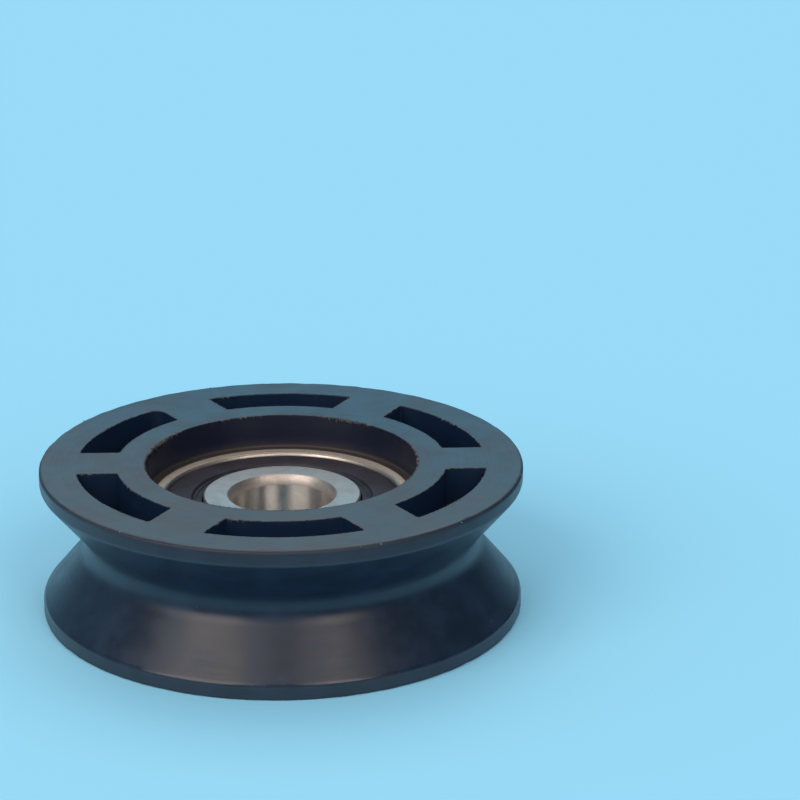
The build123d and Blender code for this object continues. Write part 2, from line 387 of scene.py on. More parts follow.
class Field:
    """A value that changes from point to point: a node's output, whose arithmetic adds further nodes."""

    def __init__(self, nodes, output):
        self.nodes = nodes
        self.output = output

    def __add__(self, other):
        return self.nodes.math("ADD", self, other)

    def __sub__(self, other):
        return self.nodes.math("SUBTRACT", self, other)

    def __mul__(self, other):
        return self.nodes.math("MULTIPLY", self, other)

    def __truediv__(self, other):
        return self.nodes.math("DIVIDE", self, other)

    def __abs__(self):
        return self.nodes.math("ABSOLUTE", self)


class Nodes:
    """A node tree, with short ways to add and join its nodes."""

    def __init__(self, tree):
        self.tree = tree
        tree.nodes.clear()

    def put(self, socket, value):
        """Joins a socket to another node's output, or sets it to a plain value."""
        if isinstance(value, Field):
            value = value.output
        if isinstance(value, bpy.types.NodeSocket):
            self.tree.links.new(value, socket)
        else:
            socket.default_value = value

    def add(self, kind, inputs=(), **settings):
        """A new node. Its inputs are given in the sockets' order, or under their names."""
        node = self.tree.nodes.new("ShaderNode" + kind)
        for key, value in settings.items():
            setattr(node, key, value)
        for key, value in inputs.items() if isinstance(inputs, dict) else enumerate(inputs):
            self.put(node.inputs[key], value)
        return node

    def math(self, operation, *values):
        return Field(self, self.add("Math", values, operation=operation).outputs[0])

    def vector(self, operation, inputs, output="Vector"):
        return Field(self, self.add("VectorMath", inputs, operation=operation).outputs[output])

    def axes(self, vector):
        """A vector's three numbers."""
        parts = self.add("SeparateXYZ", [vector])
        return [Field(self, output) for output in parts.outputs]

    def ramp(self, value, low, high, to_low=0.0, to_high=1.0):
        """A smooth passage from one number to another while the value goes from low to high."""
        inputs = (value, low, high, to_low, to_high)
        return Field(self, self.add("MapRange", inputs, interpolation_type="SMOOTHSTEP").outputs["Result"])

    def mix(self, amount, first, second):
        """A mix of two colours."""
        inputs = {"Factor": amount, "A": first, "B": second}
        return Field(self, self.add("Mix", inputs, data_type="RGBA").outputs["Result"])


class Shader(Nodes):
    """One material's node tree around its surface shader."""

    def __init__(self, name):
        self.material = bpy.data.materials.new(name)
        self.material.use_nodes = True
        super().__init__(self.material.node_tree)
        self.surface = self.add("BsdfPrincipled")
        self.output = self.add("OutputMaterial", {"Surface": self.surface.outputs["BSDF"]})
        self.place = self.add("TexCoord").outputs["Object"]

    def set(self, **values):
        """Sets or joins the surface shader's sockets, named with underscores, and gives the material."""
        for key, value in values.items():
            self.put(self.surface.inputs[key.replace("_", " ").title().replace("Ior", "IOR")], value)
        return self.material

    def noise(self, scale, detail, roughness, vector=None, extra=None):
        """Noise between nothing and one, over the object or over a given vector and a fourth number."""
        inputs = {"Vector": vector or self.place, "Scale": scale, "Detail": detail, "Roughness": roughness}
        dimensions = "3D"
        if extra:
            inputs["W"] = extra
            dimensions = "4D"
        return Field(self, self.add("TexNoise", inputs, noise_dimensions=dimensions).outputs["Fac"])

    def bump(self, height, distance, below=None):
        """The surface's direction from a height of the given reach, on top of another such direction."""
        inputs = {"Height": height, "Distance": distance, "Strength": 1.0}
        if below:
            inputs["Normal"] = below
        return Field(self, self.add("Bump", inputs).outputs["Normal"])

    def round_axle(self):
        """The point's radius, its height, and its direction from the axle as two cosines."""
        x, y, height = self.axes(self.place)
        radius = self.vector("LENGTH", [self.add("CombineXYZ", [x, y]).outputs[0]], "Value")
        return radius, height, x / radius, y / radius

    def turned_lines(self, pitch, reach, detail=2.0):
        """Fine lines round the axle: noise that is drawn out along the turning and changes every pitch."""
        radius, height, east, north = self.round_axle()
        spread = self.add("CombineXYZ", [radius / pitch, height / pitch, east * reach])
        return self.noise(1.0, detail, 0.6, spread.outputs[0], north * reach)


def rgba(values, times=1.0):
    """A colour property as a shader's colour, lighter or darker by a factor."""
    return (*[value * times for value in values], 1.0)


DUST = (0.16, 0.17, 0.18, 1.0)
NYLON_SPECULAR = (0.8, 0.8, 0.8, 1.0)
AWAY_FROM_LAMPS = (0.35, 0.94, 0.0)
MOULDED_LEVEL = 2.5 * MM


def nylon_material(wheel, bearing, finish):
    """Black nylon: faint turning lines, cloudy sheen and a little pale dust.

    The side faces are dulled by handling. Their colour holds painted light: lighter and warmer towards the
    lamps at the front, and teal towards the back as painted reflection of the backdrop. The pockets and
    recesses have their moulded skin, painted navy as shade and darkest in the recesses. The ledge around the
    bearing is dull, and painted lighter brown as the lamplight it catches. The lower rim is rubbed where its
    flank begins, and the recess's edge is torn.
    """
    nylon = Shader("black_nylon")
    radius, height = nylon.round_axle()[:2]
    level = abs(height)
    rim, half = wheel.radius, wheel.half_width
    recess = bearing.outer_radius + wheel.recess_step
    pockets_end = rim - wheel.rim_wall
    ledge_level = bearing.half_width

    face = nylon.ramp(level, half - 0.06 * MM, half - 0.005 * MM)
    band = nylon.ramp(radius, rim - 0.12 * MM, rim - 0.02 * MM)
    matt = nylon.math("MAXIMUM", face, band * 0.3)
    skin = nylon.ramp(radius, pockets_end + 0.3 * MM, pockets_end + 0.5 * MM, 1.0, 0.0)
    skin = skin * nylon.ramp(level, MOULDED_LEVEL, MOULDED_LEVEL + 0.5 * MM)
    deep = nylon.ramp(radius, recess + 0.5 * MM, recess + 1.5 * MM)
    ledge = nylon.ramp(level, ledge_level + 0.15 * MM, ledge_level + 0.5 * MM, 1.0, 0.0)
    ledge = ledge * nylon.ramp(radius, recess + 0.1 * MM, recess + 0.2 * MM, 1.0, 0.0) * skin
    edge = nylon.ramp(radius, rim - 0.35 * MM, rim - 0.1 * MM)
    edge = edge * nylon.ramp(level, half - 0.4 * MM, half - 0.2 * MM)
    from_flank = abs(level - (half - wheel.land - 0.02 * MM))
    rubbed = nylon.ramp(from_flank, 0.1 * MM, 0.28 * MM, 1.0, 0.0)
    rubbed = rubbed * nylon.ramp(radius, rim - 0.4 * MM, rim - 0.2 * MM) * nylon.ramp(height, 0.0, -1.0 * MM)
    torn = nylon.ramp(radius, recess, recess + 0.3 * MM, 1.0, 0.0) * face
    torn = nylon.ramp(torn * nylon.noise(2800.0, 3.0, 0.6), 0.34, 0.44)

    lines = nylon.turned_lines(0.16 * MM, 2.2, 3.0)
    broad = nylon.turned_lines(0.9 * MM, 0.8)
    clouds = nylon.noise(320.0, 3.0, 0.55)
    grain = nylon.noise(9000.0, 2.0, 0.6)
    smudge = nylon.ramp(nylon.noise(150.0, 4.0, 0.62), 0.38, 0.66)
    dust = nylon.ramp(nylon.noise(2600.0, 1.0, 0.5), 0.77, 0.83)

    # Painted light: the side faces run from the teal shaded copy towards the back to the lighter, warmer lit
    # copy towards the lamps at the front, with random smudges.
    ahead = nylon.vector("DOT_PRODUCT", [nylon.place, AWAY_FROM_LAMPS], "Value")
    towards_lamps = nylon.ramp(ahead, rim, -rim) + nylon.ramp(smudge, 0.0, 1.0, -0.08, 0.08)
    lamplit = nylon.mix(towards_lamps, rgba(finish.nylon_face), rgba(finish.nylon_face_lamp_side))
    darker, lighter = (nylon.vector("SCALE", {0: lamplit, "Scale": times}) for times in (0.92, 1.08))
    base = nylon.mix(nylon.ramp(clouds, 0.35, 0.7), rgba(finish.nylon), rgba(finish.nylon, 1.5))
    # Painted shade: the pockets and recesses are painted navy on top of their moulded skin, darkest in the
    # recess.
    base = nylon.mix(skin, base, nylon.mix(deep, rgba(finish.nylon_recess_shaded), rgba(finish.nylon_pocket_shaded)))
    # Painted light: the ledge at the recess's foot is painted lighter brown, as caught lamplight.
    base = nylon.mix(ledge, base, rgba(finish.nylon_ledge_lamplight))
    base = nylon.mix(dust * 0.25, base, DUST)
    base = nylon.mix(matt * 0.95, base, nylon.mix(smudge, darker, lighter))
    base = nylon.mix(torn, base, rgba(finish.burr))
    rough = (
        nylon.ramp(clouds, 0.25, 0.75, -0.03, 0.06)
        + finish.nylon_roughness
        + nylon.ramp(lines, 0.3, 0.7, -0.03, 0.03)
        + dust * 0.2
        + matt * finish.face_roughness
        + face * nylon.ramp(smudge, 0.0, 1.0, -0.03, 0.03)
        + edge * 0.24
        + ledge * 0.25
        - rubbed * 0.14
        + torn * 0.35
    )
    normal = nylon.bump(broad, 0.006 * MM)
    normal = nylon.bump(lines, 0.0016 * MM, normal)
    normal = nylon.bump(grain, 0.0022 * MM, normal)
    return nylon.set(base_color=base, roughness=rough, normal=normal, ior=1.62, specular_tint=NYLON_SPECULAR)


def burr_material(finish):
    """Torn nylon: browner and duller than the faces."""
    burr = Shader("torn_nylon")
    patch = burr.noise(2200.0, 3.0, 0.6)
    base = burr.mix(burr.ramp(patch, 0.4, 0.65), rgba(finish.nylon), rgba(finish.burr))
    rough = burr.ramp(patch, 0.3, 0.7, 0.5, 0.75)
    return burr.set(base_color=base, roughness=rough, normal=burr.bump(patch, 0.03 * MM), ior=1.5)


def fleck_material(finish):
    """Pale crumbs of nylon and dust."""
    fleck = Shader("pale_crumbs")
    patch = fleck.noise(5000.0, 2.0, 0.6)
    base = fleck.mix(fleck.ramp(patch, 0.3, 0.7), rgba(finish.fleck, 0.55), rgba(finish.fleck))
    return fleck.set(base_color=base, roughness=fleck.ramp(patch, 0.3, 0.7, 0.55, 0.8), ior=1.5)


def tarnished(steel, bright, dull, speck):
    """A ground steel's colour with a slight tarnish and specks of handling, and the tarnish's pattern."""
    patch = steel.noise(700.0, 3.0, 0.6)
    specks = steel.ramp(steel.noise(5200.0, 2.0, 0.6), 0.62, 0.72)
    base = steel.mix(steel.ramp(patch, 0.35, 0.7), bright, dull)
    return steel.mix(specks * 0.4, base, speck), patch


def ring_material(name, outside, edge, inside):
    """Ground bearing steel with lines round the axle, and a pitted part within the edge's radius.

    Outside and inside hold the colour and roughness of each part.
    """
    steel = Shader(name)
    shade, roughness = outside
    inner_shade, inner_roughness = inside
    within = steel.ramp(steel.round_axle()[0], edge - 0.06 * MM, edge, 1.0, 0.0)
    pitted = steel.ramp(steel.noise(4200.0, 3.0, 0.65), 0.42, 0.62)
    bright = steel.mix(within, rgba(shade), steel.mix(pitted, rgba(inner_shade), rgba(inner_shade, 0.8)))
    dull = steel.mix(within, rgba(shade, 0.86), rgba(inner_shade, 0.86))
    base, patch = tarnished(steel, bright, dull, rgba(shade, 0.42))
    lines = steel.turned_lines(0.05 * MM, 5.0)
    rough = (
        steel.ramp(within, 0.0, 1.0, roughness, inner_roughness)
        + steel.ramp(patch, 0.3, 0.7, -0.04, 0.05)
        + steel.ramp(lines, 0.3, 0.7, -0.04, 0.04)
    )
    normal = steel.bump(steel.noise(26000.0, 2.0, 0.7), 0.004 * MM, steel.bump(lines, 0.001 * MM))
    return steel.set(base_color=base, roughness=rough, normal=normal, metallic=1.0)


def bore_material(finish):
    """The bore's ground wall, whose highlights are drawn out across the grinding lines."""
    steel = Shader("bore_steel")
    # Painted highlight: the bore takes the lightest copy of the inner ring's steel, to brighten its highlight
    # streaks.
    shade = finish.bore_steel
    base = tarnished(steel, rgba(shade), rgba(shade, 0.86), rgba(shade, 0.42))[0]
    tangent = steel.add("Tangent", direction_type="RADIAL").outputs[0]
    steel.set(anisotropic=1.0, anisotropic_rotation=0.25, tangent=tangent)
    return steel.set(base_color=base, roughness=finish.bore_roughness, metallic=1.0)


def rubber_material(finish):
    """Black rubber: a dull moulded skin with a fine grain."""
    rubber = Shader("seal_rubber")
    grain = rubber.noise(6500.0, 3.0, 0.6)
    patch = rubber.noise(500.0, 2.0, 0.5)
    base = rubber.mix(rubber.ramp(patch, 0.35, 0.7), rgba(finish.rubber), rgba(finish.rubber, 1.7))
    rough = rubber.ramp(grain, 0.3, 0.7, 0.42, 0.58)
    return rubber.set(base_color=base, roughness=rough, normal=rubber.bump(grain, 0.006 * MM), ior=1.47)


def ball_material(finish):
    """Polished steel under a film of grease."""
    ball = Shader("ball_steel")
    film = ball.noise(900.0, 3.0, 0.6)
    base = ball.mix(ball.ramp(film, 0.4, 0.7), rgba(finish.ball_steel), rgba(finish.ball_steel, 0.9))
    return ball.set(base_color=base, roughness=ball.ramp(film, 0.3, 0.7, 0.06, 0.14), metallic=1.0)


def sheet_material(finish):
    """Pressed steel sheet: dull, with drawn marks and rubbed spots."""
    sheet = Shader("sheet_steel")
    patch = sheet.noise(1400.0, 3.0, 0.6)
    base = sheet.mix(sheet.ramp(patch, 0.35, 0.7), rgba(finish.sheet_steel), rgba(finish.sheet_steel, 0.75))
    rough = sheet.ramp(patch, 0.3, 0.7, 0.32, 0.48)
    normal = sheet.bump(sheet.turned_lines(0.08 * MM, 9.0), 0.002 * MM)
    return sheet.set(base_color=base, roughness=rough, normal=normal, metallic=1.0)


SECTORS = 6
SECTOR_STEPS = 80
ARC_STEPS = 36
CORNER_STEPS = 8
SIDE_STEPS = 8
WORN_POCKET = (1, 2)
FACE_ROWS = (0.0, 0.02, 0.35, 0.9)
WALL_ROWS = (0.05, 0.12, 0.25, 0.5, 0.93)
FLOOR_GUARD = 0.08 * MM
FLOOR_STRIP = 0.04 * MM
RIM_ROWS = (0.55 * MM, 0.8 * MM)
RIM_FADE = 0.3 * MM
RECESS_ROWS = (0.35 * MM, 0.7 * MM, 1.1 * MM)
RECESS_FADE = 0.35 * MM
GUARD = 0.05 * MM
OUTLINE_GUARD = 0.12 * MM
SMALLEST_ROUND = 0.01 * MM
INWARD_STEP = 0.01 * MM


class Pocket:
    """One pocket's outline in plan, which lies about +X until it is turned to its place.

    The outer and inner edges are arcs about the axle, and each end lies along a rib, at half the rib's width
    from the rib's middle line. Each corner is an arc that touches both. An inset moves every edge into the
    pocket. Corners holds the rounds of the outer and inner corner on each side of +X.
    """

    def __init__(self, wheel, bearing, side, number):
        self.outer = wheel.radius - wheel.rim_wall
        self.inner = bearing.outer_radius + wheel.recess_step + wheel.hub_wall
        self.beside = wheel.rib_width / 2
        self.middle = math.pi / SECTORS * (2 * number + 1)
        corner = wheel.pocket_corner
        outer_corner = wheel.worn_corner if (side, number) == WORN_POCKET else corner
        self.corners = {1: (corner, corner), -1: (outer_corner, corner)}

    def half_outline(self, inset, side):
        """From the middle of the outer arc to the middle of the inner arc."""
        half_sector = math.pi / SECTORS
        along = np.array([math.cos(half_sector), math.sin(half_sector)])
        across = np.array([math.sin(half_sector), -math.cos(half_sector)])
        rib_side = math.atan2(-across[1], -across[0])
        outer, inner = self.outer - inset, self.inner + inset
        rounds = [max(corner - inset, SMALLEST_ROUND) for corner in self.corners[side]]
        centres = []
        for reach, corner in ((outer - rounds[0], rounds[0]), (inner + rounds[1], rounds[1])):
            beside = self.beside + inset + corner
            centres.append(math.sqrt(reach**2 - beside**2) * along + beside * across)
        ends = [math.atan2(centre[1], centre[0]) for centre in centres]
        outer_arc = arc_points((0, 0), outer, 0, ends[0], ARC_STEPS)
        outer_corner = arc_points(centres[0], rounds[0], ends[0], rib_side, CORNER_STEPS)
        inner_corner = arc_points(centres[1], rounds[1], rib_side, ends[1] + math.pi, CORNER_STEPS)
        end_line = run_between(outer_corner[-1], inner_corner[0], SIDE_STEPS)
        inner_arc = arc_points((0, 0), inner, ends[1], 0, ARC_STEPS)
        half = np.concatenate([outer_arc, outer_corner[1:], end_line[1:], inner_corner[1:], inner_arc[1:]])
        return half * np.array([1, side])

    def outline(self, inset):
        """The closed outline."""
        return np.concatenate([self.half_outline(inset, 1), self.half_outline(inset, -1)[-2:0:-1]])

    def inward(self, inset):
        """The directions, of unit length, in which the outline's points move as the inset grows."""
        step = self.outline(inset + INWARD_STEP) - self.outline(inset)
        return step / np.maximum(np.linalg.norm(step, axis=1, keepdims=True), 1e-9)

    def grid_in_place(self, flat, height):
        """A grid's points in plan turned to the pocket's place, with their heights, as one list."""
        cosine, sine = math.cos(self.middle), math.sin(self.middle)
        flat = flat @ np.array([[cosine, sine], [-sine, cosine]])
        return np.concatenate([flat, height[:, :, None]], 2).reshape(-1, 3)


def cell_outline(inner, outer):
    """The outline of a pocket's share of the side face, with a point for each one of the pocket's outline."""
    half_sector = math.pi / SECTORS
    arc_steps = ARC_STEPS + CORNER_STEPS // 2
    outer_arc = arc_points((0, 0), outer, 0, half_sector, arc_steps)
    inner_arc = arc_points((0, 0), inner, half_sector, 0, arc_steps)
    ray = run_between(outer_arc[-1], inner_arc[0], SIDE_STEPS + CORNER_STEPS)
    half = np.concatenate([outer_arc, ray[1:], inner_arc[1:]])
    return np.concatenate([half, (half * np.array([1, -1]))[-2:0:-1]])


def pocket_patches(wheel, bearing, side, number, inner, outer):
    """One sixth of a side face with its pocket, and the narrow strip that closes the pocket's floor.

    Rows run from the cell's outline over the face to the pocket's lip, down its leaning wall and over its
    floor to the line where its two long sides would meet. Columns follow the outline. The cut lip wanders a
    little, and this fades down the wall. Each end of the last row is drawn together to one point.
    """
    pocket = Pocket(wheel, bearing, side, number)
    lip, foot, depth = wheel.pocket_lip, wheel.pocket_foot, wheel.pocket_depth
    lean = depth * math.tan(wheel.pocket_draft)
    half_gap = (pocket.outer - pocket.inner) / 2
    bend = np.linspace(0, math.pi / 2, 4)
    down = np.array(WALL_ROWS)
    lip_insets, lip_drops = lip * np.sin(bend) - lip, lip - lip * np.cos(bend)
    foot_insets, foot_drops = lean + foot - foot * np.cos(bend), depth - foot + foot * np.sin(bend)
    insets = [*lip_insets, *(lean * down), *foot_insets, lean + foot + FLOOR_GUARD, half_gap - FLOOR_STRIP]
    drops = [*lip_drops, *(depth * down), *foot_drops, depth, depth]
    cell = cell_outline(inner, outer)
    count = len(cell)
    turn = even_turns(count)
    seed = 100 + 10 * number + (side < 0)
    ragged = 0.7 * wandering(turn, seed, 6, 60) + 2.0 * nicked(turn, seed + 5, 11, 0.02, 0.06)
    lip_line = pocket.outline(insets[0])
    rows = [cell * (1 - part) + lip_line * part for part in FACE_ROWS]
    rows.append(pocket.outline(insets[0] - GUARD))
    heights = [wheel.half_width] * len(rows) + [wheel.half_width - drop for drop in drops]
    for inset, drop in zip(insets, drops):
        fade = wheel.raggedness * math.exp(-drop / RECESS_FADE) if inset < lean else 0.0
        rows.append(pocket.outline(inset) + pocket.inward(inset) * (ragged * fade)[:, None])
    flat = np.stack(rows)
    quarter = count // 4
    reach = quarter - ARC_STEPS
    for end in (quarter, 3 * quarter):
        flat[-1, end - reach : end + reach + 1] = flat[-1, end]
    height = side * np.repeat(np.array(heights)[:, None], count, 1)
    walls = pocket.grid_in_place(flat, height), grid_quads(len(rows), count, wrap_columns=True)

    over = np.arange(quarter, -quarter - 1, -1)
    pairs = np.stack([over, 2 * quarter - over], 1) % count
    strip = pocket.grid_in_place(flat[-1][pairs], height[-1][pairs]), grid_quads(len(pairs), 2)
    return [walls, strip]


def worn_round(outline, half, fade, moved, wander, lift):
    """An outline carried round the axle, whose moved points wander, most of all close to a side face.

    Lift is the share of the wander that goes into the height.
    """
    near = np.exp(-(((half - np.abs(outline[:, 1])) / fade) ** 2)) * moved
    weight = np.stack([near, near * np.sign(outline[:, 1])], 1)
    return carried_round(outline, len(wander), (wander, wander * lift), weight)


def wheel_patches(wheel, bearing):
    """The whole moulding: the outside with its groove, the recesses and the bearing's seat, and the faces."""
    half, rim = wheel.half_width, wheel.radius
    groove_corner = rim - (half - wheel.land) / math.tan(wheel.groove_angle / 2)
    rim_start = rim - wheel.rim_round - GUARD
    recess = bearing.outer_radius + wheel.recess_step
    recess_start = recess + wheel.recess_round + GUARD
    turn = even_turns(SECTORS * SECTOR_STEPS)

    upper = [
        (rim_start, half, 0),
        (rim, half, wheel.rim_round),
        *[(rim, half - drop, 0) for drop in RIM_ROWS],
        (rim, half - wheel.land, wheel.flank_round),
    ]
    lower = [(radius, -height, edge) for radius, height, edge in upper[::-1]]
    rows = [*upper, (groove_corner, 0, wheel.root_round), *lower]
    outline = guarded(rounded_outline(rows, 8), OUTLINE_GUARD)
    wander = wheel.raggedness * (0.35 * wandering(turn, 11, 5, 70) - nicked(turn, 12, 26, 0.006, 0.02))
    outside = worn_round(outline, half, RIM_FADE, outline[:, 0] > rim_start + GUARD / 2, wander, 0.3)

    upper = [
        (recess_start, half, 0),
        (recess, half, wheel.recess_round),
        *[(recess, half - drop, 0) for drop in RECESS_ROWS],
        (recess, bearing.half_width, wheel.recess_foot),
        (bearing.outer_radius - bearing.outer_chamfer, bearing.half_width, 0),
        (bearing.outer_radius, bearing.half_width - bearing.outer_chamfer, 0),
    ]
    outline = guarded(rounded_outline(mirrored(upper), 6), OUTLINE_GUARD)
    wander = wheel.raggedness * (0.6 * wandering(turn, 21, 8, 110) - 1.5 * nicked(turn, 22, 30, 0.01, 0.035))
    inside = worn_round(outline, half, RECESS_FADE, outline[:, 0] < recess_start - GUARD / 2, wander, 0.25)
    faces = [
        patch
        for side in (1, -1)
        for number in range(SECTORS)
        for patch in pocket_patches(wheel, bearing, side, number, recess_start, rim_start)
    ]
    return [outside, inside, *faces]


RECESS_TEAR = {
    "strength": (0.55, 0.55, 0.25),
    "out": (0.06 * MM, 0.05 * MM),
    "hang": (0.20 * MM, 0.14 * MM),
    "rise": 0.03 * MM,
    "sunk": (0.12 * MM, 0.05 * MM, 0.06 * MM),
    "waves": ((2, 9), (30, 240), (60, 420), (50, 420)),
}
POCKET_TEAR = {
    "strength": (0.45, 0.5, 0.3),
    "out": (0.038 * MM, 0.034 * MM),
    "hang": (0.10 * MM, 0.085 * MM),
    "rise": 0.022 * MM,
    "sunk": (0.11 * MM, 0.05 * MM, 0.05 * MM),
    "waves": ((1, 6), (20, 150), (30, 180), (20, 160)),
}
TEAR_DROPS = (0.02 * MM, 0.0, 0.01 * MM, 0.01 * MM, 0.06 * MM)
RECESS_TEAR_STEPS = 1500
POCKET_TEAR_STEPS = 420


def torn_section(count, seed, strength, out, hang, rise, sunk, waves):
    """A torn ridge's section at even places along a closed edge: a small closed fin of five points.

    Gives each point's offset into the opening and its drop below the side face. The fin is sunk into the
    nylon, stands out into the opening, rises a little and hangs down the wall. Its strength and its teeth
    wander along the edge, with gaps where the ridge has broken away.
    """
    turn = even_turns(count)
    swell, ripple, tooth, fringe = (
        wandering(turn, seed + step, *wave) for step, wave in zip((0, 3, 5, 7), waves)
    )
    tooth = np.clip(tooth, -1, 2)
    torn = np.clip(strength[0] + strength[1] * swell + strength[2] * ripple, 0, 2)
    reach = torn * (out[0] + out[1] * tooth)
    fall = np.abs(torn * (hang[0] + hang[1] * fringe))
    still = np.zeros(count)
    offsets = np.stack([still - sunk[0], still - sunk[1], reach, reach * 0.8, still - sunk[2]])
    drops = np.stack([still, -rise * np.clip(torn * tooth, 0, 2), still, fall, fall])
    return offsets, drops + np.array(TEAR_DROPS)[:, None]


def recess_burr_patch(wheel, bearing, side):
    """A thin torn ridge along the recess's edge."""
    count = RECESS_TEAR_STEPS
    offsets, drops = torn_section(count, 40 + side, **RECESS_TEAR)
    radius = bearing.outer_radius + wheel.recess_step - offsets
    points = round_points(radius, even_turns(count), side * (wheel.half_width - drops))
    return points, grid_quads(len(radius), count, wrap_rows=True, wrap_columns=True)


def pocket_burr_patch(wheel, bearing, side, number):
    """A thin torn ridge along one pocket's lip, whose outline is shared evenly by its length."""
    pocket = Pocket(wheel, bearing, side, number)
    count = POCKET_TEAR_STEPS
    offsets, drops = torn_section(count, 300 + 10 * number + (side < 0), **POCKET_TEAR)
    line = pocket.outline(0.0)
    run = np.concatenate([[0], np.cumsum(np.linalg.norm(np.diff(line, axis=0, append=line[:1]), axis=1))])
    both = np.concatenate([line, pocket.inward(0.0)], 1)
    both = np.concatenate([both, both[:1]])
    at = np.arange(count) * run[-1] / count
    line_x, line_y, inward_x, inward_y = (np.interp(at, run, column) for column in both.T)
    flat = np.stack([line_x + inward_x * offsets, line_y + inward_y * offsets], 2)
    points = pocket.grid_in_place(flat, side * (wheel.half_width - drops))
    return points, grid_quads(len(offsets), count, wrap_rows=True, wrap_columns=True)


def unit_ball(rows, columns):
    """A ball of unit radius: x and y from the sine of the tilt, z from its cosine."""
    tilt = np.repeat(np.linspace(0, math.pi, rows)[:, None], columns, 1)
    points = round_points(np.sin(tilt), even_turns(columns), np.cos(tilt))
    return points.reshape(rows, columns, 3), grid_quads(rows, columns, wrap_columns=True)


def fleck_patch(middle, size, seed):
    """One crumb: a small ball whose radius wanders from point to point, stretched along each axis."""
    chance = np.random.default_rng(seed)
    ball, quads = unit_ball(7, 10)
    bulge = 1 + 0.35 * chance.uniform(-1, 1, ball.shape[:2])
    bulge[[0, -1]] = bulge[[0, -1]].mean(1, keepdims=True)
    stretch = chance.uniform(0.45, 1.0, 3)
    points = np.asarray(middle) + ball * (bulge[:, :, None] * stretch * size / 2)
    return points.reshape(-1, 3), quads


class BearingPlan:
    """Radii and heights that several sections of the bearing share."""

    def __init__(self, bearing):
        half = bearing.half_width
        self.circle = (bearing.bore_radius + bearing.outer_radius) / 2
        self.race = bearing.ball_radius * bearing.race_ratio
        self.inner_bottom = self.circle - bearing.ball_radius - bearing.ball_clearance
        self.outer_bottom = self.circle + bearing.ball_radius + bearing.ball_clearance
        self.inner_shoulder = self.inner_bottom + bearing.inner_depth
        self.outer_shoulder = self.outer_bottom - bearing.outer_depth
        self.seat = half - bearing.seat_depth
        self.wall = bearing.outer_radius - bearing.groove_wall
        self.lip = self.wall - bearing.lip_overhang
        self.lip_end = half - bearing.lip_round - bearing.edge_round


def inner_ring_rows(bearing):
    """Upper half of the inner ring's section, from the bore's middle round to the raceway's middle."""
    plan = BearingPlan(bearing)
    half, edge = bearing.half_width, bearing.edge_round
    across, along, bend = bearing.lead_across, bearing.lead_along, bearing.lead_bend
    lean = math.atan2(across, along)
    lead_radius = math.hypot(across, along) / 2 / math.sin(bend)
    reach = lead_radius * math.cos(bend)
    lead_centre = (
        bearing.bore_radius + across / 2 + reach * math.cos(lean),
        half - along / 2 - reach * math.sin(lean),
    )
    lead = arc_rows(lead_centre, lead_radius, math.pi - lean + bend, math.pi - lean - bend, 12)
    groove_top = half - bearing.oil_groove_drop
    groove_end = groove_top - bearing.oil_groove_width - 2 * bearing.oil_groove_slope
    groove_bottom = plan.inner_shoulder - bearing.oil_groove_depth
    race_centre = plan.inner_bottom + plan.race
    race_turn = math.acos((race_centre - plan.inner_shoulder) / plan.race)
    return [
        (bearing.bore_radius, 0, 0),
        (*lead[0, :2], edge * 2),
        *lead[1:-1],
        (*lead[-1, :2], edge * 2),
        (plan.inner_shoulder - bearing.inner_edge, half, edge),
        (plan.inner_shoulder, half - bearing.inner_edge, edge),
        (plan.inner_shoulder, groove_top, edge),
        (groove_bottom, groove_top - bearing.oil_groove_slope, edge),
        (groove_bottom, groove_end + bearing.oil_groove_slope, edge),
        (plan.inner_shoulder, groove_end, edge),
        *arc_rows((race_centre, 0), plan.race, math.pi - race_turn, math.pi, 16),
    ]


def outer_ring_rows(bearing):
    """Upper half of the outer ring's section, from the raceway's middle round to the outside's middle."""
    plan = BearingPlan(bearing)
    half, edge = bearing.half_width, bearing.edge_round
    race_centre = plan.outer_bottom - plan.race
    race_turn = math.acos((plan.outer_shoulder - race_centre) / plan.race)
    return [
        *arc_rows((race_centre, 0), plan.race, 0, race_turn, 16),
        (plan.outer_shoulder, plan.seat, edge),
        (plan.wall, plan.seat, 0),
        (plan.wall, plan.lip_end, 0),
        (plan.lip, plan.lip_end, 0),
        (plan.lip, half, bearing.lip_round),
        (bearing.outer_radius - bearing.outer_chamfer, half, edge),
        (bearing.outer_radius, half - bearing.outer_chamfer, edge),
        (bearing.outer_radius, 0, 0),
    ]


